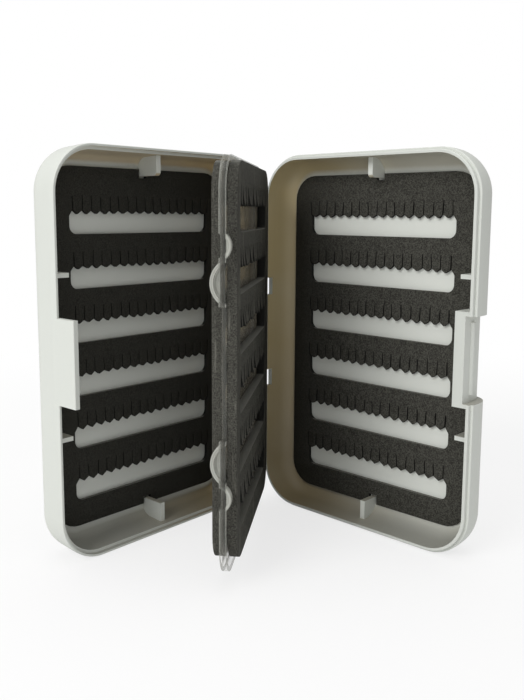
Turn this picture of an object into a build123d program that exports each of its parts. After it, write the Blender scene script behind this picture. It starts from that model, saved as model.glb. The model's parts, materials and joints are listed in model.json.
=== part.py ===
from build123d import *
import os
from math import radians, sqrt, tan

os.makedirs("parts", exist_ok=True)

# Pocket fly box, standing open on its lower end, as photographed. Millimetres, +Z up.
# Three bodies swing on one upright hinge line: base, lid, and a clear leaf between them.
# Each is laid out from the hinge line by three measures: u runs out from the hinge towards
# the latch, n runs back from the closing plane into that half, z is the height.
# The origin is the middle of the straight band on the base's lower end.

# Shells
shell_length = 148.0        # height of the standing box
shell_width = 99.2
corner_radius = 17.0
edge_round = 0.3            # softening of rims and of the tongue's edges
wall = 2.0
floor_thick = 1.5
base_cavity = 12.9          # closing plane to the floor
lid_cavity = 15.3
rim_band = 3.0              # straight band below each rim, before the wall drafts in
wall_draft = 4.0            # degrees
base_back_radius = 9.5      # rounding between walls and back, outside
lid_back_radius = 6.4

# Rim joint: a raised lip round the base enters a rebate round the lid
lip_height = 1.6
lip_thick = 1.05
lip_clearance = 0.10        # sideways
lip_end_clearance = 0.15
closed_gap = 0.10           # between the rims when closed

# Hinge
hinge_reach = 3.8           # hinge line to the outside of each hinge wall
knuckle_radius = 2.5
pin_radius = 1.0
pin_clearance = 0.06        # radial, in the knuckles that turn
hinge_offset = 19.8         # centre of each hinge group above and below mid height
shell_knuckle = 5.0         # length of each base and lid knuckle
leaf_knuckle = 6.4
knuckle_gap = 0.3
arm_bite = 0.7              # how far a knuckle's arm runs into the wall, short of the rebate
arm_drop = 0.4              # arm below the closing plane
pin_setback = 0.3           # pin end inside the end knuckle
pin_chamfer = 0.25

# Photographed opening, from the closed box
lid_opening = 88.0          # degrees between base and lid
leaf_opening = 53.3         # degrees between base and leaf

# Foam sheets, and the adhesive film under each
foam_side_margin = 6.6      # inside the shell's outline
foam_end_margin = 7.25
shell_foam_thick = 1.5
leaf_foam_thick = 3.2
film_thick = 0.1
shell_film_inset = 4.1      # inside the foam's edges
leaf_film_inset = 3.0
foam_corner = 10.0
leaf_foam_hinge_margin = 1.6    # inside the leaf's outline
leaf_foam_top_margin = 1.7
leaf_foam_low_margin = 4.1
leaf_foam_setback = 0.4         # from the latch boss's notch in the leaf
foam_relief_spare = 0.2     # over the curve at the edge of the floor
window_side_margin = 9.0
window_height = 7.6
window_corner = 2.5
window_pitch = 19.9
top_window_rise = 46.3      # middle of the top window, above the middle of its sheet
last_border = 8.0           # least foam below the last window
fin_slot_width = 3.6
fin_slot_spare = 0.8        # past the fin's tip
latch_slot_margin = 0.6
rib_slot_margin = 0.8

# Where each shell's foam is glued: its middle, out from mid width and up from mid height
base_foam_place = (-0.3, -0.7)
lid_foam_place = (0.0, 0.2)

# Fins at the middles of the end walls, and ribs on the latch walls that carry the closed leaf
fin_thick = 2.1
fin_reach = 7.6             # in from the end wall
fin_drop = 4.4              # below the closing plane
fin_corner = 1.5
fitting_setback = 0.05      # fins, ribs and boss inside the outer face of the lip
rib_thick = 1.6
base_rib_reach = 5.6
lid_rib_reach = 6.2
rest_clearance = 0.2        # between the closed leaf and what carries it

# Latch: the lid's tongue springs into a recess in the base's latch wall
tongue_length = 9.3         # past the lid's rim
tongue_width = 30.0
tongue_thick = 1.8
tongue_corner = 1.2
tongue_bite = 2.5           # root in the lid's wall
recess_clearance = 0.6      # at each end of the tongue
recess_depth = 3.8          # the recess runs on to the back, which leaves finger room past the tongue
boss_wall = 1.5             # at each end of the recess
boss_thick = 4.1            # behind the recess
boss_drop = 0.6             # below the top of the lip
catch_height = 0.9
catch_radius = 1.3
catch_length = 26.0
base_catch_drop = 4.5       # below the closing plane
lid_catch_drop = 7.5        # past the lid's rim

# Clear leaf
leaf_hinge_clearance = 1.8  # inside the hinge wall
leaf_free_clearance = 2.9   # inside the latch wall
leaf_end_clearance = 3.0    # inside each end wall
leaf_corner = 12.0
web_thick = 1.6
bead_thick = 2.2
bead_width = 1.5
tab_thick = 1.8
tab_clearance = 0.4         # at each end of a tab, in the rim notches
tab_notch_drop = 1.2        # depth of the rim notches
edge_notch_clearance = 0.8  # from the latch boss
edge_notch_spare = 4.4      # past each end of the boss
gate_length = 5.0           # small moulding nub at mid edge
gate_height = 0.4
gate_bite = 0.5             # root in the web
grip_wall = 1.1
grip_web = 0.8
grip_depth = 2.5
grip_gap = 0.5              # from the edge notch
scoop_past = 0.1            # each scoop runs on past the plate's far side
big_grip_half = 7.0         # half its length along the edge
big_grip_bulge = 4.0        # towards the lid
small_grip_half = 4.5
small_grip_bulge = 2.9      # towards the base

overrun = 1.0               # how far a cutter runs on past the faces it cuts

# Worked out from the values above
up = Vector(0, 0, 1)
mid_height = shell_length / 2
near_wall = hinge_reach
far_wall = hinge_reach + shell_width
mid_width = (near_wall + far_wall) / 2
hinge_line = Vector(-mid_width, -rim_band / 2, 0)
tab_pass = leaf_knuckle + 2 * tab_clearance
group_length = leaf_knuckle + 4 * shell_knuckle + 4 * knuckle_gap
lid_knuckle_offset = leaf_knuckle / 2 + knuckle_gap + shell_knuckle / 2
base_knuckle_offset = lid_knuckle_offset + shell_knuckle + knuckle_gap
recess_half = tongue_width / 2 + recess_clearance
recess_face = far_wall - recess_depth
boss_half = recess_half + boss_wall
boss_face = recess_face - boss_thick
leaf_near = near_wall + wall + leaf_hinge_clearance
leaf_far = far_wall - wall - leaf_free_clearance
leaf_length = shell_length - 2 * (wall + leaf_end_clearance)
leaf_half_web = web_thick / 2
edge_notch_face = boss_face - edge_notch_clearance
edge_notch_half = boss_half + edge_notch_spare
grip_start = leaf_far - grip_depth
big_grip_centre = edge_notch_half + grip_gap + big_grip_half
small_grip_centre = big_grip_centre + big_grip_half + small_grip_half
base_rib_drop = bead_thick / 2 + rest_clearance
lid_rib_drop = big_grip_bulge + rest_clearance
shell_foam_size = (shell_width - 2 * foam_side_margin, shell_length - 2 * foam_end_margin)
window_width = shell_foam_size[0] - 2 * window_side_margin
lowest_window_rise = last_border + window_height / 2 - shell_foam_size[1] / 2
window_rows = 1 + int((top_window_rise - lowest_window_rise) / window_pitch)
fin_slot_end = wall + fin_reach + fin_slot_spare
fitting_inset = wall - lip_thick + fitting_setback
leaf_foam_far = edge_notch_face - leaf_foam_setback
leaf_foam_near = leaf_near + leaf_foam_hinge_margin
leaf_foam_size = (leaf_foam_far - leaf_foam_near, leaf_length - leaf_foam_top_margin - leaf_foam_low_margin)
leaf_foam_place = ((leaf_foam_near + leaf_foam_far) / 2 - mid_width,
                   (leaf_foam_low_margin - leaf_foam_top_margin) / 2)


class Half:
    """One body laid out from the hinge line: out is its u direction and back its n direction."""

    def __init__(self, opening, turn_to_back):
        self.out = Vector(1, 0, 0).rotate(Axis.Z, -opening)
        self.back = self.out.rotate(Axis.Z, turn_to_back)

    def point(self, u, n, z):
        return hinge_line + self.out * u + self.back * n + up * z

    def facing(self, n):
        """Plane parallel to the closing plane at depth n: x is u, y is z."""
        return Plane(self.point(0, n, 0), x_dir=self.out, z_dir=self.out.cross(up))

    def level(self, z):
        """Horizontal plane at height z: x is u, y is n."""
        return Plane(self.point(0, 0, z), x_dir=self.out, z_dir=self.out.cross(self.back))

    def end_on(self, u):
        """Upright plane across the half at u: x is n, y is z."""
        return Plane(self.point(u, 0, 0), x_dir=self.back, z_dir=self.back.cross(up))


class Shell(Half):
    """A body with a cavity of the given depth, and its rounding between walls and back."""

    def __init__(self, opening, turn_to_back, cavity, back_radius):
        super().__init__(opening, turn_to_back)
        self.cavity = cavity
        self.depth = cavity + floor_thick
        self.back_radius = back_radius
        self.floor_radius = back_radius - wall


base = Shell(0, 90, base_cavity, base_back_radius)
lid = Shell(lid_opening, -90, lid_cavity, lid_back_radius)
leaf = Half(leaf_opening, 90)


def outline(half, n, inset):
    """The shell's rounded outline at depth n, drawn in by inset."""
    with BuildSketch(half.facing(n)) as sketch:
        with Locations((mid_width, mid_height)):
            RectangleRounded(shell_width - 2 * inset, shell_length - 2 * inset, corner_radius - inset)
    return sketch.sketch


def pan(half, top, depth, inset, edge_radius, rim_round=0.0):
    """Closed tray form from n = top to depth: a straight band, then drafted walls, then a round edge."""
    drafted = (depth - rim_band) * tan(radians(wall_draft))
    with BuildPart() as form:
        extrude(outline(half, top, inset), amount=rim_band - top, dir=half.back)
        loft([outline(half, rim_band, inset).face(), outline(half, depth, inset + drafted).face()])
        faces_by_depth = form.faces().sort_by(Axis(half.point(0, 0, 0), half.back))
        rim_edges, floor_edges = faces_by_depth[0].edges(), faces_by_depth[-1].edges()
        fillet(floor_edges, edge_radius)
        if rim_round > 0:
            fillet(rim_edges, rim_round)
    return form.part


def lip():
    """Solid form of the base's lip, its top edge softened; the cavity is cut from it afterwards."""
    with BuildPart() as form:
        extrude(outline(base, -lip_height, wall - lip_thick), amount=lip_height + rim_band, dir=base.back)
        top_face = form.faces().sort_by(Axis(base.point(0, 0, 0), base.back))[0]
        fillet(top_face.edges(), edge_round)
    return form.part


def block(half, u, n, z):
    """Box between two values each of u, n and z."""
    with BuildPart() as form:
        with BuildSketch(half.facing(n[0])):
            with Locations(((u[0] + u[1]) / 2, (z[0] + z[1]) / 2)):
                Rectangle(u[1] - u[0], z[1] - z[0])
        extrude(amount=n[1] - n[0], dir=half.back)
    return form.part


def about_mid(half_length, offset=0.0):
    """Two heights, evenly about mid height plus offset."""
    return (mid_height + offset - half_length, mid_height + offset + half_length)


def fin(shell, end):
    """Gusset at the middle of an end wall; end is +1 at the top and -1 at the bottom."""
    outside = mid_height * (1 + end)
    tip = outside - end * (wall + fin_reach)
    with BuildPart() as form:
        with BuildSketch(shell.end_on(mid_width)) as side:
            with BuildLine():
                Polyline((fin_drop, outside), (fin_drop, tip), (shell.depth, tip), (shell.depth, outside),
                         close=True)
            make_face()
            inner_corner = side.vertices().sort_by_distance(shell.point(mid_width, fin_drop, tip))[0]
            fillet(inner_corner, fin_corner)
        extrude(amount=fin_thick / 2, both=True)
    return form.part


def rib(shell, reach, drop, offset):
    """Small gusset on the latch wall, square to it."""
    return block(shell, (far_wall - wall - reach, far_wall), (drop, shell.depth),
                 about_mid(rib_thick / 2, offset))


def recess():
    """Cutter for the latch recess; the face that it leaves follows the rounding of the back."""
    with BuildPart() as form:
        add(block(base, (recess_face - base.back_radius, far_wall + overrun),
                  (-lip_height - overrun, base.depth + overrun), about_mid(recess_half)))
        add(pan(base, -lip_height - overrun, base.depth, recess_depth, base.back_radius - recess_depth),
            mode=Mode.SUBTRACT)
    return form.part


def rebate():
    """Ring cut round the lid's rim, and from the fins' roots, that the base's lip enters."""
    rebate_depth = lip_height + lip_end_clearance
    with BuildPart() as form:
        extrude(outline(lid, 0, wall - lip_thick - lip_clearance), amount=rebate_depth, dir=lid.back)
        extrude(outline(lid, 0, wall + lip_clearance), amount=rebate_depth, dir=lid.back, mode=Mode.SUBTRACT)
    return form.part


def within_walls(shell):
    """The space that fittings may fill: out into the shell's wall and to the middle of its floor."""
    return pan(shell, -lip_height, shell.depth - floor_thick / 2, fitting_inset,
               shell.back_radius - fitting_inset)


def knuckle(half, z, length, arm, arm_bottom, arm_top):
    """Hinge barrel of the given length centred at height z, with an arm out to u = arm."""
    with BuildPart() as form:
        with BuildSketch(half.level(z)):
            Circle(knuckle_radius)
            with Locations((arm / 2, (arm_bottom + arm_top) / 2)):
                Rectangle(arm, arm_top - arm_bottom)
        extrude(amount=length / 2, both=True)
    return form.part


def pin_hole(half, radius):
    """Full-height cutter on the hinge line."""
    with BuildPart() as form:
        with BuildSketch(half.level(mid_height)):
            Circle(radius)
        extrude(amount=hinge_offset + group_length / 2 + overrun, both=True)
    return form.part


def tab_notch(half, end):
    """Cutter for the rim notch that one of the leaf's tabs passes through."""
    return block(half, (near_wall - wall / 2, near_wall + 1.5 * wall), (-2 * lip_height, tab_notch_drop),
                 about_mid(tab_pass / 2, end * hinge_offset))


def tongue():
    """The lid's latch tongue, flush with the outside of its wall."""
    with BuildPart() as form:
        with BuildSketch(lid.end_on(far_wall - tongue_thick)) as side:
            with Locations(((tongue_bite - tongue_length) / 2, mid_height)):
                Rectangle(tongue_length + tongue_bite, tongue_width)
            fillet(side.vertices().group_by(Axis(lid.point(0, 0, 0), lid.back))[0], tongue_corner)
        extrude(amount=tongue_thick, dir=lid.out)
        end_face = form.faces().sort_by(Axis(lid.point(0, 0, 0), lid.back))[0]
        outer_face = form.faces().sort_by(Axis(lid.point(0, 0, 0), lid.out))[-1]
        fillet([edge for edge in outer_face.edges() if edge in end_face.edges()], edge_round)
    return form.part


def foam_outline(half, n, place, size, inset):
    """Foam sheet seen square on, with its windows; a shell's also has slots for fins, boss and ribs."""
    across, rise = place
    with BuildSketch(half.facing(n)) as sketch:
        with Locations((mid_width + across, mid_height + rise)):
            RectangleRounded(size[0] - 2 * inset, size[1] - 2 * inset, foam_corner - inset)
            with Locations((0, top_window_rise - window_pitch * (window_rows - 1) / 2)):
                with GridLocations(0, window_pitch, 1, window_rows):
                    RectangleRounded(
                        window_width + 2 * inset, window_height + 2 * inset,
                        window_corner + inset, mode=Mode.SUBTRACT,
                    )
        if isinstance(half, Shell):
            with Locations((mid_width, 0), (mid_width, shell_length)):
                Rectangle(fin_slot_width + 2 * inset, 2 * (fin_slot_end + inset), mode=Mode.SUBTRACT)
            with Locations((far_wall, mid_height)):
                Rectangle(
                    2 * (far_wall - boss_face + latch_slot_margin + inset),
                    2 * (boss_half + latch_slot_margin + inset),
                    mode=Mode.SUBTRACT,
                )
                with Locations((0, big_grip_centre), (0, -big_grip_centre)):
                    Rectangle(2 * (wall + lid_rib_reach + rib_slot_margin), rib_thick + 2 * rib_slot_margin,
                              mode=Mode.SUBTRACT)
    return sketch.sketch


def foam_sheet(half, n, toward, place, size, thick):
    """Foam from depth n, growing along toward."""
    with BuildPart() as form:
        extrude(foam_outline(half, n, place, size, 0), amount=thick, dir=toward)
    return form.part


def shell_foam_sheet(shell, n, place):
    """Foam on a shell's floor, its lower edge cut back to clear the curve round the floor."""
    flat_inset = wall + (shell.cavity - rim_band) * tan(radians(wall_draft)) + shell.floor_radius
    past = flat_inset - min(foam_side_margin - abs(place[0]), foam_end_margin - abs(place[1]))
    rise = shell.floor_radius - sqrt(shell.floor_radius**2 - past**2)
    with BuildPart() as form:
        add(foam_sheet(shell, n, -shell.back, place, shell_foam_size, shell_foam_thick))
        glued = form.faces().sort_by(Axis(shell.point(0, 0, 0), shell.back))[-1]
        chamfer(glued.outer_wire().edges(), past, rise + foam_relief_spare - film_thick, reference=glued)
    return form.part


def film(half, n, toward, place, size, inset):
    """Adhesive film cut like the foam, its edges in by inset."""
    with BuildPart() as form:
        extrude(foam_outline(half, n, place, size, inset), amount=film_thick, dir=toward)
    return form.part


# Fittings moulded inside the base: latch boss, fins and ribs
with BuildPart() as base_fittings:
    add(block(base, (boss_face, far_wall), (boss_drop - lip_height, base.depth), about_mid(boss_half)))
    for end in (1, -1):
        add(fin(base, end))
        add(rib(base, base_rib_reach, base_rib_drop, end * big_grip_centre))
    add(within_walls(base), mode=Mode.INTERSECT)

# Base: the right-hand shell
with BuildPart() as base_shell:
    add(pan(base, 0, base.depth, 0, base.back_radius, edge_round))
    add(lip())
    add(pan(base, -lip_height, base.cavity, wall, base.floor_radius), mode=Mode.SUBTRACT)
    add(base_fittings.part)
    add(recess(), mode=Mode.SUBTRACT)
    with BuildSketch(base.level(mid_height)):
        with Locations((recess_face + catch_height - catch_radius, base_catch_drop)):
            Circle(catch_radius)
    extrude(amount=catch_length / 2, both=True)
    for end in (1, -1):
        for group in (1, -1):
            add(knuckle(base, mid_height + group * hinge_offset + end * base_knuckle_offset, shell_knuckle,
                        near_wall + arm_bite, arm_drop, knuckle_radius))
        add(tab_notch(base, end), mode=Mode.SUBTRACT)
    add(pin_hole(base, pin_radius), mode=Mode.SUBTRACT)
base_shell.part.label = "base_shell"

# Fittings moulded inside the lid: fins and ribs
with BuildPart() as lid_fittings:
    for end in (1, -1):
        add(fin(lid, end))
        add(rib(lid, lid_rib_reach, lid_rib_drop, end * big_grip_centre))
    add(within_walls(lid), mode=Mode.INTERSECT)

# Lid: the left-hand shell, with the latch tongue
with BuildPart() as lid_shell:
    add(pan(lid, closed_gap, lid.depth, 0, lid.back_radius, edge_round))
    add(pan(lid, 0, lid.cavity, wall, lid.floor_radius), mode=Mode.SUBTRACT)
    add(lid_fittings.part)
    add(rebate(), mode=Mode.SUBTRACT)
    add(tongue())
    with BuildSketch(lid.level(mid_height)):
        with Locations((far_wall - tongue_thick - catch_height + catch_radius, -lid_catch_drop)):
            Circle(catch_radius)
    extrude(amount=catch_length / 2, both=True)
    for end in (1, -1):
        for group in (1, -1):
            add(knuckle(lid, mid_height + group * hinge_offset + end * lid_knuckle_offset, shell_knuckle,
                        near_wall + arm_bite, arm_drop, knuckle_radius))
        add(tab_notch(lid, end), mode=Mode.SUBTRACT)
    add(pin_hole(lid, pin_radius + pin_clearance), mode=Mode.SUBTRACT)
lid_shell.part.label = "lid_shell"


def leaf_outline(inset):
    """The clear leaf's rounded outline, drawn in by inset."""
    with BuildSketch(leaf.facing(0)) as sketch:
        with Locations(((leaf_near + leaf_far) / 2, mid_height)):
            RectangleRounded(
                leaf_far - leaf_near - 2 * inset,
                leaf_length - 2 * inset,
                leaf_corner - inset,
            )
    return sketch.sketch


def grip(centre, half_length, bulge):
    """One finger grip: the half-moon bump at the free edge, and the scoop that is cut from it."""
    side = 1 if bulge > 0 else -1
    height = mid_height + centre
    arc_radius = (half_length**2 + bulge**2) / (2 * abs(bulge))
    arc_centre = bulge - side * arc_radius
    with BuildPart() as bump:
        with BuildSketch(leaf.end_on(grip_start)):
            with BuildLine():
                arc = ThreePointArc((0, height - half_length), (bulge, height), (0, height + half_length))
                Line(arc @ 1, arc @ 0)
            make_face()
        extrude(amount=grip_depth, dir=leaf.out)
    with BuildPart() as scoop:
        with BuildSketch(leaf.end_on(grip_start + grip_web)):
            with Locations((arc_centre, height)):
                Circle(arc_radius - grip_wall)
            with Locations((side * (arc_radius / 2 - bead_thick / 2 - scoop_past), height)):
                Rectangle(arc_radius, 2 * arc_radius, mode=Mode.INTERSECT)
        extrude(amount=grip_depth, dir=leaf.out)
    return bump.part, scoop.part


# Leaf: clear moulded plate with a beaded edge, finger grips and two hinge tabs
with BuildPart() as leaf_plate:
    extrude(leaf_outline(0), amount=bead_thick / 2, both=True)
    for side in (leaf.back, -leaf.back):
        extrude(leaf_outline(bead_width).moved(Location(side * leaf_half_web)), amount=bead_thick, dir=side,
                mode=Mode.SUBTRACT)
    add(block(leaf, (edge_notch_face, leaf_far + overrun), (-bead_thick, bead_thick),
              about_mid(edge_notch_half)), mode=Mode.SUBTRACT)
    add(block(leaf, (edge_notch_face - gate_bite, edge_notch_face + gate_height),
              (-leaf_half_web, leaf_half_web), about_mid(gate_length / 2)))
    for end in (1, -1):
        for centre, half_length, bulge in (
            (big_grip_centre, big_grip_half, -big_grip_bulge),
            (small_grip_centre, small_grip_half, small_grip_bulge),
        ):
            bump, scoop = grip(end * centre, half_length, bulge)
            add(bump)
            add(scoop, mode=Mode.SUBTRACT)
        add(knuckle(leaf, mid_height + end * hinge_offset, leaf_knuckle, leaf_near + arm_bite,
                    -tab_thick / 2, tab_thick / 2))
    add(pin_hole(leaf, pin_radius + pin_clearance), mode=Mode.SUBTRACT)
leaf_plate.part.label = "leaf_plate"

# Foam sheets and their films: one pair in each shell, and one each side of the leaf
pieces = [base_shell.part, lid_shell.part, leaf_plate.part]
for name, shell, place in (("base", base, base_foam_place), ("lid", lid, lid_foam_place)):
    glue = film(shell, shell.cavity, -shell.back, place, shell_foam_size, shell_film_inset)
    sheet = shell_foam_sheet(shell, shell.cavity - film_thick, place)
    glue.label, sheet.label = f"{name}_foam_film", f"{name}_foam"
    pieces += [glue, sheet]
for name, side in (("leaf_base_side", 1), ("leaf_lid_side", -1)):
    toward = leaf.back * side
    glue = film(leaf, side * leaf_half_web, toward, leaf_foam_place, leaf_foam_size, leaf_film_inset)
    sheet = foam_sheet(leaf, side * (leaf_half_web + film_thick), toward, leaf_foam_place, leaf_foam_size,
                       leaf_foam_thick)
    glue.label, sheet.label = f"{name}_foam_film", f"{name}_foam"
    pieces += [glue, sheet]

# Hinge pins: one through each hinge group, tight in the base's knuckles
for name, end in (("upper", 1), ("lower", -1)):
    with BuildPart() as hinge_pin:
        with BuildSketch(base.level(mid_height + end * hinge_offset)):
            Circle(pin_radius)
        extrude(amount=group_length / 2 - pin_setback, both=True)
        chamfer(hinge_pin.edges().filter_by(GeomType.CIRCLE), pin_chamfer)
    hinge_pin.part.label = f"{name}_hinge_pin"
    pieces.append(hinge_pin.part)

for piece in pieces:
    export_step(piece, f"parts/{piece.label}.step")
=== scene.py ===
import json
from math import cos, pi, radians, sin

import bmesh
import bpy
import numpy as np
from mathutils import Matrix, Vector


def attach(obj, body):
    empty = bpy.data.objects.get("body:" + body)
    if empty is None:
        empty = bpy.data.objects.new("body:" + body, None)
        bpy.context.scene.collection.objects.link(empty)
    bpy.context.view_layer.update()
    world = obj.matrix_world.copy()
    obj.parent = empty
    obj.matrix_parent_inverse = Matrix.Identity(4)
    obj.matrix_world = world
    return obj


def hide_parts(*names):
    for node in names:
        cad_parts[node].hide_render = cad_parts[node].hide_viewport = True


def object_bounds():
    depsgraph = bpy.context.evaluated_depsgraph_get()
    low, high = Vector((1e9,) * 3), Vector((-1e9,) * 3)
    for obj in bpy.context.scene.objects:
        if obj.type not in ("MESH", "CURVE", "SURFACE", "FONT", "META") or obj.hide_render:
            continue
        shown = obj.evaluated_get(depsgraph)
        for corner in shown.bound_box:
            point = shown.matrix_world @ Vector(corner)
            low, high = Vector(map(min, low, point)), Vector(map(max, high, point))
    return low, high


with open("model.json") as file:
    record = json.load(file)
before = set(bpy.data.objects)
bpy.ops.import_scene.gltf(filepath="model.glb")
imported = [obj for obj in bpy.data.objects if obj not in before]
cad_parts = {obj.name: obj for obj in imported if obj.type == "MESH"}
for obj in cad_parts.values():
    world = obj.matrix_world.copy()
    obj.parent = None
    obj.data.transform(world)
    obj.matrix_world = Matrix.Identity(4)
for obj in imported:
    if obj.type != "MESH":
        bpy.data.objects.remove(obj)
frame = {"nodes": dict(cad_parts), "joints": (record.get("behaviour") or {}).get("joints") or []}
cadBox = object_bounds()
nodes = frame["nodes"]
mm = 0.001

# where things are: three flat bodies on one upright hinge line
joints = {joint["name"]: joint for joint in frame["joints"]}
hingePlace = np.array(joints["lid_hinge"]["pos_m"]) * (1, 1, 0)
up = np.array([0.0, 0.0, 1.0])


def halfAxes(opening, side):
    # out runs from the hinge to the free edge, back runs into the half
    out = np.array([cos(opening), sin(opening), 0.0])
    return {"out": out, "back": np.array([-out[1], out[0], 0.0]) * side}


halves = {
    "base": halfAxes(0.0, 1),
    "lid": halfAxes(radians(joints["lid_hinge"]["range_deg"][0]), -1),
    "leaf": halfAxes(radians(joints["leaf_hinge"]["range_deg"][0]), 1),
}


def toHalf(points, half):
    # world points to (u, n, z): the dot products with out, back and up
    axes = np.array([halves[half]["out"], halves[half]["back"], up])
    return (points - hingePlace) @ axes.T


def toWorld(local, half):
    # (u, n, z) to world points: the sum of u out, n back and z up
    axes = np.array([halves[half]["out"], halves[half]["back"], up])
    return local @ axes + hingePlace


def nodePoints(node):
    points = np.empty(len(nodes[node].data.vertices) * 3, np.float32)
    nodes[node].data.vertices.foreach_get("co", points)
    return points.reshape(-1, 3).astype(float)


def nodeSpan(node, half):
    # lowest and highest (u, n, z) of a CAD node
    local = toHalf(nodePoints(node), half)
    return local.min(axis=0), local.max(axis=0)


print("frame read:", len(nodes), "nodes")


class Wire:
    # one output of a shader node; the operators add Math nodes
    def __init__(self, tree, socket):
        self.tree, self.socket = tree, socket

    def maths(self, operation, first, second):
        node = self.tree.nodes.new("ShaderNodeMath")
        node.operation = operation
        for socket, value in zip(node.inputs, (first, second)):
            if isinstance(value, Wire):
                self.tree.links.new(value.socket, socket)
            else:
                socket.default_value = value
        return Wire(self.tree, node.outputs[0])

    def __add__(self, other):
        return self.maths("ADD", self, other)

    def __radd__(self, other):
        return self.maths("ADD", other, self)

    def __sub__(self, other):
        return self.maths("SUBTRACT", self, other)

    def __rsub__(self, other):
        return self.maths("SUBTRACT", other, self)

    def __mul__(self, other):
        return self.maths("MULTIPLY", self, other)

    def __rmul__(self, other):
        return self.maths("MULTIPLY", other, self)

    def __pow__(self, other):
        return self.maths("POWER", self, other)


def opaque(colour):
    # the four numbers that a colour socket takes; a wire stays as it is
    return colour if isinstance(colour, Wire) else (*colour, 1)


def darker(colour, share):
    return tuple(share * part for part in colour)


class Finish:
    # one material round a Principled shader
    def __init__(self, name):
        self.material = bpy.data.materials.new(name)
        self.material.use_nodes = True
        self.tree = self.material.node_tree
        self.shader = self.tree.nodes["Principled BSDF"]

    def add(self, kind, settings, values, output=0):
        # any node: its settings first, then the values or links of its sockets
        node = self.tree.nodes.new(kind)
        for key, value in settings.items():
            setattr(node, key, value)
        self.link(node, values)
        return Wire(self.tree, node.outputs[output])

    def link(self, node, values):
        for key, value in values.items():
            if isinstance(value, Wire):
                self.tree.links.new(value.socket, node.inputs[key])
            else:
                node.inputs[key].default_value = value

    def place(self):
        return self.add("ShaderNodeTexCoord", {}, {}, "Object")

    def noise(self, scale, detail, roughness=0.5, vector=None):
        values = {"Vector": vector or self.place(), "Scale": scale, "Detail": detail, "Roughness": roughness}
        return self.add("ShaderNodeTexNoise", {}, values)

    def spread(self, value, low, high, newLow=0.0, newHigh=1.0):
        values = {"Value": value, "From Min": low, "From Max": high, "To Min": newLow, "To Max": newHigh}
        return self.add("ShaderNodeMapRange", {"interpolation_type": "SMOOTHSTEP"}, values)

    def mix(self, factor, first, second):
        values = {0: factor, 6: opaque(first), 7: opaque(second)}
        return self.add("ShaderNodeMix", {"data_type": "RGBA"}, values, 2)

    def bump(self, height, distance, strength, below=None):
        values = {"Height": height, "Distance": distance, "Strength": strength}
        if below:
            values["Normal"] = below
        return self.add("ShaderNodeBump", {}, values)

    def dot(self, vector, direction):
        values = {0: vector, 1: tuple(float(part) for part in direction)}
        return self.add("ShaderNodeVectorMath", {"operation": "DOT_PRODUCT"}, values, "Value")

    def along(self, place, direction):
        # distance from the hinge line: the dot product of place and direction, less the hinge's own
        return self.dot(place, direction) - float(hingePlace @ direction)

    def done(self, **values):
        self.link(self.shader, {key.replace("_", " "): value for key, value in values.items()})
        return self.material


# shells: satin white moulded plastic, with painted warm shade inside towards the hinge and the top, painted
# shade on the inner walls, and outer walls painted darker than the floors
shellLook = {
    "white": (0.77, 0.79, 0.735),           # floors
    # the outer walls: the same plastic, painted darker than the floors, a painted shade
    "outside": (0.63, 0.65, 0.605),
    # painted shade on the inner walls
    "inside": (0.50, 0.50, 0.44),
    "insideLow": (0.27, 0.27, 0.237),       # painted shade on the wall at the bottom end
    # painted warm shade: its colour at the bottom and at the top
    "warmShadeLow": (0.30, 0.24, 0.135),
    "warmShadeHigh": {"base": (0.47, 0.38, 0.20), "lid": (0.60, 0.46, 0.25)},
    "share": {"base": 0.20, "lid": 0.60},   # least painted warm shade at the top end
    "lowShare": 0.04,                       # and at the bottom
    "fullShare": 0.95,                      # near the hinge
    "wallShadeShare": 0.85,               # how far the inner walls go from white to the painted shade
    "eye": 1.0 * mm,            # depth of the point that inner faces look at
    "innerSoft": 1.5 * mm,
    "floorFacing": (0.80, 1.0),         # a face's turn to the opening, from wall to floor
    "endFacing": (0.3, 0.9),            # and upwards, from wall to bottom end
    "arms": (4.5 * mm, 6.5 * mm),       # the hinge's arms end here, and the shade starts
    "warmShading": (10 * mm, 75 * mm),       # full painted warm shade up to here from the hinge, and none from here
    "cloud": 35,                # sizes of the noises, in waves a metre
    "flow": 160,
    "peel": 900,
    "scuff": 2600,
    "scuffed": (0.62, 0.8),
    "rough": 0.42,
    "orangePeel": 0.012 * mm,
}


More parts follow.
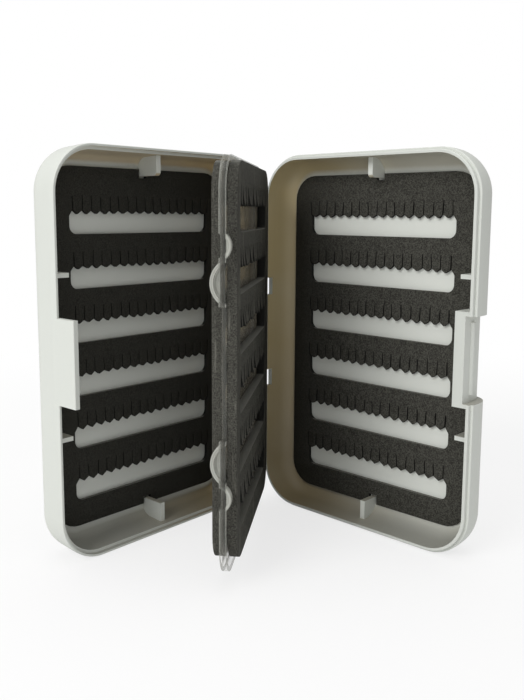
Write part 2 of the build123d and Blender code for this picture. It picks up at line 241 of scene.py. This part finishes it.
def shellFinish(half):
    look = shellLook
    low, high = nodeSpan(half + "_shell", half)
    middle = toWorld(np.array([high[0] / 2, look["eye"], high[2] / 2]), half)
    finish = Finish("shell " + half)
    place = finish.place()
    facing = finish.add("ShaderNodeTexCoord", {}, {}, "Normal")
    towards = finish.add("ShaderNodeVectorMath", {"operation": "SUBTRACT"},
                         {0: tuple(middle), 1: place})
    inwards = finish.add("ShaderNodeVectorMath", {"operation": "DOT_PRODUCT"},
                         {0: facing, 1: towards}, "Value")
    inner = finish.spread(inwards, 0.0, look["innerSoft"])
    flat = finish.dot(facing, -halves[half]["back"])  # 1 on the floor and on the rims
    side = 1 - finish.spread(flat, *look["floorFacing"])
    reach = finish.along(place, halves[half]["out"])
    near = 1 - finish.spread(reach, *look["warmShading"])
    height = finish.dot(place, up)
    share = finish.spread(height, low[2], high[2], look["lowShare"], look["share"][half])
    climb = finish.spread(height, low[2], high[2])
    # painted warm shade on the inner walls, most near the hinge and towards the top
    warmShade = finish.mix(climb, look["warmShadeLow"], look["warmShadeHigh"][half])
    cloud = finish.noise(look["cloud"], 2)
    armsStart, armsEnd = look["arms"]
    pastArms = finish.spread(reach, low[0] + armsStart, low[0] + armsEnd)
    shaded = inner * side * pastArms
    warmShading = shaded * (share + near * (look["fullShare"] - share)) * (cloud * 0.4 + 0.8)
    flow = finish.noise(look["flow"], 4, 0.6)
    # floors white and outer walls painted darker: painted shade
    white = finish.mix(inner * (flow * 0.08 + 0.92), look["outside"], look["white"])
    # painted shade on the inner walls, darker on the wall at the bottom end
    upwards = finish.spread(finish.dot(facing, up), *look["endFacing"])
    inside = finish.mix(upwards, look["inside"], look["insideLow"])
    shadedWalls = finish.mix(shaded * look["wallShadeShare"], white, inside)
    colour = finish.mix(warmShading, shadedWalls, warmShade)
    peel = finish.noise(look["peel"], 3)
    scuff = finish.spread(finish.noise(look["scuff"], 2, 0.7), *look["scuffed"])
    rough = look["rough"] + flow * 0.12 + scuff * 0.08
    relief = finish.bump(peel + scuff * 0.4, look["orangePeel"], 0.6)
    return finish.done(Base_Color=colour, Roughness=rough, Normal=relief)


for half in ("base", "lid"):
    nodes[half + "_shell"].data.materials.clear()
    nodes[half + "_shell"].data.materials.append(shellFinish(half))
print("shells finished")

pinLook = {
    "steel": (0.60, 0.60, 0.61),
    "shadow": 0.8,              # of the steel's colour, between the drawn lines
    "lines": 9000,
    "stretch": (1, 1, 0.02),
    "lineDepth": 0.01 * mm,
}

filmLook = {"dark": (0.05, 0.05, 0.045), "shadow": 0.7, "blotch": 300}


def pinFinish():
    # drawn wire: fine scratches that run up the pin
    finish = Finish("pin steel")
    drawn = finish.add("ShaderNodeMapping", {}, {"Vector": finish.place(), "Scale": pinLook["stretch"]})
    lines = finish.noise(pinLook["lines"], 2, 0.6, drawn)
    colour = finish.mix(lines, darker(pinLook["steel"], pinLook["shadow"]), pinLook["steel"])
    return finish.done(Base_Color=colour, Metallic=1.0, Roughness=0.25 + lines * 0.2,
                       Normal=finish.bump(lines, pinLook["lineDepth"], 0.5))


def filmFinish():
    finish = Finish("adhesive film")
    blotch = finish.noise(filmLook["blotch"], 3)
    colour = finish.mix(blotch, darker(filmLook["dark"], filmLook["shadow"]), filmLook["dark"])
    return finish.done(Base_Color=colour, Roughness=0.35 + blotch * 0.3)


steel, film = pinFinish(), filmFinish()
for name, node in nodes.items():
    if name.endswith("_pin") or name.endswith("_film"):
        node.data.materials.clear()
        node.data.materials.append(steel if name.endswith("_pin") else film)
print("pins and films finished")

# leaf: clear moulded plastic, hazed along the hinge, with ringed grips
leafLook = {
    "tint": (0.24, 0.21, 0.16),
    "clear": (0.48, 0.49, 0.445),
    "webAlpha": 0.10,
    "edgeAlpha": 0.60,
    "streakAlpha": 0.12,
    "ringAlpha": 0.2,
    "grazing": 0.65,            # how much more the web shows when seen edge on, behind the foam
    "refraction": 1.5,
    "foamEnd": (63 * mm, 66 * mm),      # above and below mid height
    "foamEdge": (93 * mm, 94.5 * mm),   # from the hinge line
    "haze": (22 * mm, 40 * mm),         # moulding haze along the hinge, full and none
    "hazeAlpha": 0.55,
    "edge": (0.85 * mm, 1.15 * mm),     # web inside this, bead and grips past it, from the plate's middle
    "ringStart": (1.2 * mm, 1.5 * mm),
    "ringPitch": 0.85 * mm,     # of the moulded steps that run round each grip
    "ringDepth": 0.12 * mm,
    "streak": 220,
    "streakDepth": 0.05 * mm,
    "frost": 1400,
}

# the grips' places above and below mid height, half lengths and bulges, as in the CAD
grips = {
    "big": {"place": 29.0 * mm, "half": 7.0 * mm, "bulge": 4.0 * mm},
    "small": {"place": 40.5 * mm, "half": 4.5 * mm, "bulge": 2.9 * mm},
}


def arcCentre(grip):
    # depth of the centre of the circle through a grip's two ends and its crown: the bulge less the
    # radius, which is (half length squared + bulge squared) over twice the bulge
    radius = (grip["half"] ** 2 + grip["bulge"] ** 2) / (2 * grip["bulge"])
    return grip["bulge"] - radius


def leafFinish():
    look = leafLook
    finish = Finish("leaf clear")
    place = finish.place()
    depth = finish.along(place, halves["leaf"]["back"])
    away = finish.add("ShaderNodeMath", {"operation": "ABSOLUTE"}, {0: depth})
    edge = finish.spread(away, *look["edge"])
    height = finish.dot(place, up) - (cadBox[0][2] + cadBox[1][2]) / 2
    rise = finish.add("ShaderNodeMath", {"operation": "ABSOLUTE"}, {0: height})
    # rings: the distance from the arc's centre in steps; the big grips bulge towards the lid's side,
    # where depth is below 0, and the small ones towards the base's
    isSmall = finish.add("ShaderNodeMath", {"operation": "GREATER_THAN"}, {0: depth, 1: 0.0})
    big, small = grips["big"], grips["small"]
    ringPlace = rise - big["place"] - isSmall * (small["place"] - big["place"])
    ringDepth = away - arcCentre(big) - isSmall * (arcCentre(small) - arcCentre(big))
    distance = (ringPlace * ringPlace + ringDepth * ringDepth) ** 0.5
    turns = distance * (2 * pi / look["ringPitch"])
    rings = finish.add("ShaderNodeMath", {"operation": "SINE"}, {0: turns}) * 0.5 + 0.5
    ringed = finish.spread(away, *look["ringStart"]) * rings
    streak = finish.noise(look["streak"], 3, 0.55)
    reach = finish.along(place, halves["leaf"]["out"])
    clouded = 1 - finish.spread(reach, *look["haze"])
    grazing = finish.add("ShaderNodeFresnel", {}, {"IOR": look["refraction"]}) * look["grazing"]
    pastEdge = finish.spread(reach, *look["foamEdge"])
    behindFoam = (1 - finish.spread(rise, *look["foamEnd"])) * (1 - pastEdge)
    web = look["webAlpha"] + (clouded * look["hazeAlpha"] + grazing) * behindFoam
    rim = edge * (look["edgeAlpha"] - look["webAlpha"])
    alpha = web + rim + streak * look["streakAlpha"] + ringed * look["ringAlpha"]
    clear = edge.maths("MAXIMUM", edge, pastEdge)
    colour = finish.mix(streak * 0.3 + clear * 0.7, look["tint"], look["clear"])
    frost = finish.noise(look["frost"], 3)
    relief = finish.bump(ringed, look["ringDepth"], 0.8, finish.bump(streak, look["streakDepth"], 0.5))
    return finish.done(Base_Color=colour, Roughness=0.16 + frost * 0.12, Alpha=alpha, Normal=relief,
                       Specular_IOR_Level=0.45)


nodes["leaf_plate"].data.materials.clear()
nodes["leaf_plate"].data.materials.append(leafFinish())
print("leaf finished")

# foam sheets: die-cut windows, a row of slit fingers hanging over each
foamLook = {
    "dark": (0.018, 0.0175, 0.014),
    "light": (0.088, 0.086, 0.073),
    "cut": (0.006, 0.006, 0.005),   # painted shade on the cut faces that don't look up, in the slits and under the fingertips
    "sillSheen": (0.17, 0.17, 0.15),     # painted sheen on the cut faces that look up
    "hair": (0.20, 0.195, 0.165),   # frayed hairs on the leaf's sheets
    "hairs": 420,
    "hairTurn": (0.5, 0.4, 0),
    "hairStretch": (1, 1, 0.06),
    "hairy": (0.56, 0.66),
    "hairShare": 0.38,
    "grain": 2500,
    "grainDepth": 0.10 * mm,
    "pores": 4250,
    "porous": (0.60, 0.72),
    "mottle": 420,
    "tone": (0.34, 0.68),
    "hingeShade": (6 * mm, 46 * mm),        # painted shade: the foam is darker near the hinge
    "windowEnd": (88.5 * mm, 89.5 * mm),    # past the windows' free ends
    "cutFacing": (0.1, 0.5),
    "cutShare": 0.85,
    "sillFacing": (0.8, 0.98),
    # a painted level per half: painted shade on the lid's sheet, painted light on the leaf's
    "strength": {"base": 1.0, "lid": 0.42, "leaf": 1.1},
}

comb = {
    "rows": 6,
    "pitch": 19.9 * mm,
    "width": 68.0 * mm,         # of each window
    "bottomRadius": 3.0 * mm,
    "sideRadius": 1.0 * mm,     # where the top slants down to the side at the free end
    "corner": 1.0 * mm,         # drop from the first notch to the window's hinge side
    "slits": 17,
    "firstSlit": -0.6 * mm,     # from the window's hinge side
    "lastSlit": 1.55 * mm,      # inside the window's free side
    "slitLength": 5.2 * mm,
    "tooth": 1.25 * mm,         # depth of the notches between the fingertips
    "toothFlat": 0.16 * mm,
    "wander": 0.14 * mm,        # how far slits and tips stray from their places
    "droop": 1.5,               # power of the fingers' bend out of the sheet
    "pastTips": 1.15,           # fingers end here, in lengths from slit top to tip
    "edgeRound": 0.08 * mm,
    "doubles": 0.002 * mm,
    "sharpAngle": 35,
}

# apex is the highest window's notches above mid height, height from there to its lower edge,
# stray how far a fingertip may stand out
shellSheet = {"apex": 51.0 * mm, "height": 8.5 * mm, "slotted": True, "stray": 0.20 * mm}
leafSheet = {"half": "leaf", "apex": 53.1 * mm, "height": 9.9 * mm, "slotted": False,
             "stray": 0.95 * mm, "slit": 1.25 * mm}
sheets = {
    "base_foam": {**shellSheet, "half": "base", "seed": 11, "outward": -1, "slit": 0.48 * mm},
    "lid_foam": {**shellSheet, "half": "lid", "seed": 12, "outward": -1, "slit": 0.34 * mm},
    "leaf_base_side_foam": {**leafSheet, "seed": 13, "outward": 1},
    "leaf_lid_side_foam": {**leafSheet, "seed": 14, "outward": -1},
}

# slots that the shells' sheets leave for the fins, ribs and latch
slots = {
    "corner": 10.0 * mm,
    "fin": (1.8 * mm, 10.4 * mm),       # half width, and end from the end of the box
    "latch": (17.7 * mm, 94.5 * mm),    # half length, and inner edge from the hinge line
    "rib": (1.6 * mm, 94.0 * mm, 29.0 * mm),  # half width, inner end, and place above or below mid height
    "boxLength": 148.0 * mm,
    "midWidth": 53.4 * mm,
}


def arc(centre, radius, start, end, steps=8):
    # points round a centre: the centre + radius times (cos, sin) of angles in even steps, in degrees
    angles = np.radians(np.linspace(start, end, steps))
    return np.stack([centre[0] + radius * np.cos(angles), centre[1] + radius * np.sin(angles)], axis=1)


def windowLoop(left, right, apex, bottom, slit, random):
    # one window, anticlockwise from its lower left corner: three arcs, then along its top from the
    # free side a slit at each notch's apex and a blunt tooth halfway between two slits
    c = comb
    r = c["bottomRadius"]
    count = c["slits"]
    slitAt = np.linspace(right - c["lastSlit"], left + c["firstSlit"], count)
    slitAt[1:-1] += random.normal(0, c["wander"], count - 2)
    apexes = apex + random.normal(0, c["wander"] * 0.5, count)
    half = slit / 2 * random.uniform(0.7, 1.15, count)
    lean = random.normal(0, c["wander"] * 1.6, count)
    tops = apexes + c["slitLength"] * random.uniform(0.9, 1.05, count)
    # each slit: up its free side, over its rounded end, down its hinge side
    halfway = slitAt + lean * 0.4
    end = slitAt + lean
    slitX = np.stack([slitAt + half, halfway + half, end + half * 0.7,
                      end - half * 0.7, halfway - half, slitAt - half], axis=1)
    middles = (apexes + tops) / 2
    slitZ = np.stack([apexes, middles, tops, tops, middles, apexes], axis=1)
    # each fingertip between two slits: a blunt tooth
    tipAt = (slitAt[:-1] + slitAt[1:]) / 2 + random.normal(0, c["wander"], count - 1)
    tipZ = apex - c["tooth"] * random.uniform(0.88, 1.14, count - 1)
    flat = c["toothFlat"] / 2
    tipX = np.stack([tipAt + flat, tipAt - flat], axis=1)
    tips = np.stack([tipX, np.stack([tipZ, tipZ], axis=1)], axis=2)
    slits = np.stack([slitX, slitZ], axis=2)
    top = np.concatenate([np.concatenate([slits[:-1], tips], axis=1).reshape(-1, 2), slits[-1]])
    return np.concatenate([
        arc((left + r, bottom + r), r, 180, 270),
        arc((right - r, bottom + r), r, 270, 360),
        arc((right - c["sideRadius"], apex - c["tooth"] - c["sideRadius"]), c["sideRadius"], 0, 45, 4),
        top,
        [[left, apex - c["corner"]]],
    ])


def sheetLoop(low, high, slotted):
    # the sheet's rounded outline, anticlockwise from its lower left corner, with square slots
    r = slots["corner"]
    left, right, bottom, top = low[0], high[0], low[2], high[2]
    bottomSlot, latchSlots, topSlot = np.empty((0, 2)), np.empty((0, 2)), np.empty((0, 2))
    if slotted:
        finHalf, finEnd = slots["fin"]
        finX = slots["midWidth"] + np.array([-finHalf, -finHalf, finHalf, finHalf])
        bottomSlot = np.stack([finX, [bottom, finEnd, finEnd, bottom]], axis=1)
        finTop = slots["boxLength"] - finEnd
        topSlot = np.stack([finX[::-1], [top, finTop, finTop, top]], axis=1)
        middle = slots["boxLength"] / 2
        latchHalf, latchEdge = slots["latch"]
        ribHalf, ribEdge, ribPlace = slots["rib"]
        ups = [(-ribPlace, ribHalf, ribEdge), (0.0, latchHalf, latchEdge), (ribPlace, ribHalf, ribEdge)]
        latchSlots = np.array([
            point for place, reach, edge in ups
            for point in ((right, middle + place - reach), (edge, middle + place - reach),
                          (edge, middle + place + reach), (right, middle + place + reach))
        ])
    return np.concatenate([
        arc((left + r, bottom + r), r, 180, 270), bottomSlot,
        arc((right - r, bottom + r), r, 270, 360), latchSlots,
        arc((right - r, top - r), r, 0, 90), topSlot,
        arc((left + r, top - r), r, 90, 180),
    ])


def flatForm(loops, thick, edgeRound):
    # a filled flat curve of closed loops, made thick, its edges rounded: its points and faces
    curve = bpy.data.curves.new("cutting", "CURVE")
    curve.dimensions = "2D"
    curve.fill_mode = "BOTH"
    curve.extrude = thick / 2 - edgeRound
    curve.bevel_depth = edgeRound
    curve.bevel_resolution = 1
    curve.offset = -edgeRound
    for loop in loops:
        spline = curve.splines.new("POLY")
        spline.points.add(len(loop) - 1)
        spline.points.foreach_set("co", np.pad(loop, ((0, 0), (0, 2))).astype(np.float32).ravel())
        spline.use_cyclic_u = True
    holder = bpy.data.objects.new("cutting", curve)
    mesh = bpy.data.meshes.new_from_object(holder)
    points = np.empty(len(mesh.vertices) * 3, np.float32)
    mesh.vertices.foreach_get("co", points)
    faces = [tuple(face.vertices) for face in mesh.polygons]
    bpy.data.objects.remove(holder)
    bpy.data.curves.remove(curve)
    bpy.data.meshes.remove(mesh)
    return points.reshape(-1, 3).astype(float), faces


def addPiece(name, points, faces, body, material):
    # a closed mesh in world metres, its doubles merged and its faces turned outwards
    mesh = bpy.data.meshes.new(name)
    mesh.from_pydata(points.tolist(), [], faces)
    work = bmesh.new()
    work.from_mesh(mesh)
    bmesh.ops.remove_doubles(work, verts=work.verts, dist=comb["doubles"])
    bmesh.ops.recalc_face_normals(work, faces=work.faces)
    work.to_mesh(mesh)
    work.free()
    mesh.shade_smooth()
    mesh.set_sharp_from_angle(angle=radians(comb["sharpAngle"]))
    mesh.materials.append(material)
    piece = bpy.data.objects.new(name, mesh)
    bpy.context.scene.collection.objects.link(piece)
    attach(piece, body)
    return piece


def foamFinish(half):
    look = foamLook
    finish = Finish("foam charcoal " + half)
    place = finish.place()
    grain = finish.noise(look["grain"], 3, 0.65)
    pores = finish.spread(finish.noise(look["pores"], 2, 0.6), *look["porous"])
    mottle = finish.noise(look["mottle"], 3)
    tone = finish.spread(grain * 0.88 + mottle * 0.12, *look["tone"])
    reach = finish.along(place, halves[half]["out"])
    shade = finish.spread(reach, *look["hingeShade"])
    # painted shade near the hinge, and each half's painted level of shade or light
    tone = tone * (shade * 0.82 + 0.18) * look["strength"][half]
    facing = finish.add("ShaderNodeTexCoord", {}, {}, "Normal")
    across = finish.dot(facing, halves[half]["back"])
    amongSlits = 1 - finish.spread(reach, *look["windowEnd"])
    # painted shade on the cut faces among the slits
    cut = amongSlits * (1 - finish.spread(across * across, *look["cutFacing"]))
    # painted sheen on the cut faces that look up
    sillSheen = finish.spread(finish.dot(facing, up), *look["sillFacing"])
    colour = finish.mix(tone, look["dark"], look["light"])
    if half == "leaf":
        turn = {"Vector": place, "Rotation": look["hairTurn"], "Scale": look["hairStretch"]}
        turned = finish.add("ShaderNodeMapping", {}, turn)
        hairs = finish.spread(finish.noise(look["hairs"], 5, 0.75, turned), *look["hairy"])
        colour = finish.mix(hairs * look["hairShare"], colour, look["hair"])
    colour = finish.mix(cut * look["cutShare"], colour, look["cut"])
    colour = finish.mix(sillSheen * (grain * 0.6 + 0.5), colour, look["sillSheen"])
    relief = finish.bump(grain - pores * 0.6, look["grainDepth"], 0.7)
    return finish.done(Base_Color=colour, Roughness=0.86 + tone * 0.08, Normal=relief,
                       Specular_IOR_Level=0.25)


foamMaterials = {half: foamFinish(half) for half in halves}


def strayOut(local, centre, firstApex, stray, random):
    # how far each point's finger stands out: the finger's own random amount times the share of the way
    # down from the slits' tops to the tips, to the power of the droop
    left, right = centre - comb["width"] / 2, centre + comb["width"] / 2
    edges = np.linspace(left + comb["firstSlit"], right - comb["lastSlit"], comb["slits"])
    finger = np.clip(np.searchsorted(edges, local[:, 0]), 0, comb["slits"])
    fromApex = firstApex - local[:, 2]
    row = np.clip(np.round((fromApex + comb["slitLength"] / 2) / comb["pitch"]), 0, comb["rows"] - 1)
    amounts = stray * random.uniform(0, 1, (comb["rows"], comb["slits"] + 1)) ** comb["droop"]
    amounts[:, [0, -1]] = 0
    apex = firstApex - row * comb["pitch"]
    down = (apex + comb["slitLength"] - local[:, 2]) / (comb["slitLength"] + comb["tooth"])
    inRow = (down > 0) & (down < comb["pastTips"])
    return np.where(inRow, amounts[row.astype(int), finger] * np.clip(down, 0, 1) ** comb["droop"], 0)


def foamPiece(node, facts):
    # the sheet's outline less six windows, as thick as its CAD node and where that is
    half = facts["half"]
    low, high = nodeSpan(node, half)
    middle = (low[2] + high[2]) / 2
    centre = slots["midWidth"] if half == "leaf" else (low[0] + high[0]) / 2
    random = np.random.default_rng(facts["seed"])
    loops = [sheetLoop(low, high, facts["slotted"])]
    for row in range(comb["rows"]):
        apex = middle + facts["apex"] - row * comb["pitch"]
        loops.append(windowLoop(centre - comb["width"] / 2, centre + comb["width"] / 2, apex,
                                apex - facts["height"], facts["slit"], random))
    points, faces = flatForm(loops, high[1] - low[1], comb["edgeRound"])
    local = np.stack([points[:, 0], points[:, 2] + (low[1] + high[1]) / 2, points[:, 1]], axis=1)
    local[:, 1] += facts["outward"] * strayOut(local, centre, middle + facts["apex"], facts["stray"], random)
    piece = addPiece(node + "_sheet", toWorld(local, half), faces, half, foamMaterials[half])
    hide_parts(node)


for node, facts in sheets.items():
    foamPiece(node, facts)
    print("foam sheet made:", node)

# stage: a white floor and world, a soft key lamp and one overhead
stageLook = {
    "floorHalf": 3.0,
    "floorGap": 0.1 * mm,
    "floorWhite": (0.90, 0.90, 0.90),
    "floorGlow": 0.72,          # how much of the floor's own white the camera sees near the box
    "glow": (0.10, 0.45),       # from this level to all of it, in metres from the box
    "worldLevel": 0.50,
    "aimHeight": 0.07,
    "keySize": 0.55,
    "keyPower": 4.9,
    "keyAway": (0.55, -0.62, 0.52),     # to the camera's left, ahead of it and up, from the box
    "topSize": 0.8,
    "topPower": 2.6,
    "topAbove": 0.8,
}

view = {
    "place": (0.1822, -0.2483, 0.1246),
    "heading": 43.47,           # degrees, from +Y round towards -X
    "down": 7.81,
    "roll": 0.34,
    "lens": 27.17,
    "sensor": 24.0,
    "shift": (-0.00172, -0.04036),
    "clipStart": 0.01,
}


def addCamera():
    data = bpy.data.cameras.new("camera")
    data.sensor_fit = "VERTICAL"
    data.sensor_height = view["sensor"]
    data.lens = view["lens"]
    data.shift_x, data.shift_y = view["shift"]
    data.clip_start = view["clipStart"]
    camera = bpy.data.objects.new("camera", data)
    bpy.context.scene.collection.objects.link(camera)
    turn = (Matrix.Rotation(radians(view["heading"]), 4, "Z")
            @ Matrix.Rotation(radians(90 - view["down"]), 4, "X")
            @ Matrix.Rotation(radians(view["roll"]), 4, "Z"))
    camera.matrix_world = Matrix.Translation(view["place"]) @ turn
    bpy.context.scene.camera = camera


def addLamp(name, place, aim, size, power):
    data = bpy.data.lights.new(name, "AREA")
    data.shape = "DISK"
    data.size = size
    data.energy = power
    lamp = bpy.data.objects.new(name, data)
    lamp.location = place
    lamp.rotation_euler = (Vector(aim) - Vector(place)).to_track_quat("-Z", "Y").to_euler()
    bpy.context.scene.collection.objects.link(lamp)


def addFloor():
    # a flat square at the level that the box stands on
    half = stageLook["floorHalf"]
    level = cadBox[0][2] - stageLook["floorGap"]
    corners = [(-half, -half, level), (half, -half, level), (half, half, level), (-half, half, level)]
    mesh = bpy.data.meshes.new("floor")
    mesh.from_pydata(corners, [], [(0, 1, 2, 3)])
    floor = bpy.data.objects.new("floor", mesh)
    bpy.context.scene.collection.objects.link(floor)
    finish = Finish("floor white")
    finish.done(Base_Color=opaque(stageLook["floorWhite"]), Roughness=0.9)
    seen = finish.add("ShaderNodeLightPath", {}, {}, "Is Camera Ray")
    glow = finish.add("ShaderNodeEmission", {}, {"Color": (1, 1, 1, 1), "Strength": 1.0})
    away = finish.add("ShaderNodeVectorMath", {"operation": "LENGTH"}, {0: finish.place()}, "Value")
    factor = seen * finish.spread(away, *stageLook["glow"], stageLook["floorGlow"], 1.0)
    lit = Wire(finish.tree, finish.shader.outputs[0])
    blend = finish.add("ShaderNodeMixShader", {}, {0: factor, 1: lit, 2: glow})
    finish.tree.links.new(blend.socket, finish.tree.nodes["Material Output"].inputs["Surface"])
    mesh.materials.append(finish.material)


def setWorld():
    # white to the camera and through clear pieces, a plain level as light
    world = bpy.data.worlds.new("studio")
    bpy.context.scene.world = world
    world.use_nodes = True
    tree = world.node_tree
    path = tree.nodes.new("ShaderNodeLightPath")
    direct = Wire(tree, path.outputs["Is Camera Ray"])
    through = Wire(tree, path.outputs["Is Transmission Ray"])
    seen = direct.maths("MAXIMUM", direct, through)
    level = stageLook["worldLevel"]
    strength = level + seen * (1 - level)
    tree.links.new(strength.socket, tree.nodes["Background"].inputs["Strength"])
    tree.nodes["Background"].inputs["Color"].default_value = (1, 1, 1, 1)


addCamera()
addFloor()
setWorld()
heading = radians(view["heading"])
cameraRight = Vector((cos(heading), sin(heading), 0))
cameraAhead = Vector((-sin(heading), cos(heading), 0))
middleX, middleY = (cadBox[0][0] + cadBox[1][0]) / 2, (cadBox[0][1] + cadBox[1][1]) / 2
boxMiddle = Vector((middleX, middleY, stageLook["aimHeight"]))
left, ahead, above = stageLook["keyAway"]
keyPlace = boxMiddle - cameraRight * left + cameraAhead * ahead + Vector((0, 0, above))
topPlace = boxMiddle + Vector((0, 0, stageLook["topAbove"]))
addLamp("key", keyPlace, boxMiddle, stageLook["keySize"], stageLook["keyPower"])
addLamp("top", topPlace, boxMiddle, stageLook["topSize"], stageLook["topPower"])
bpy.context.scene.view_settings.view_transform = "Standard"
print("stage set")
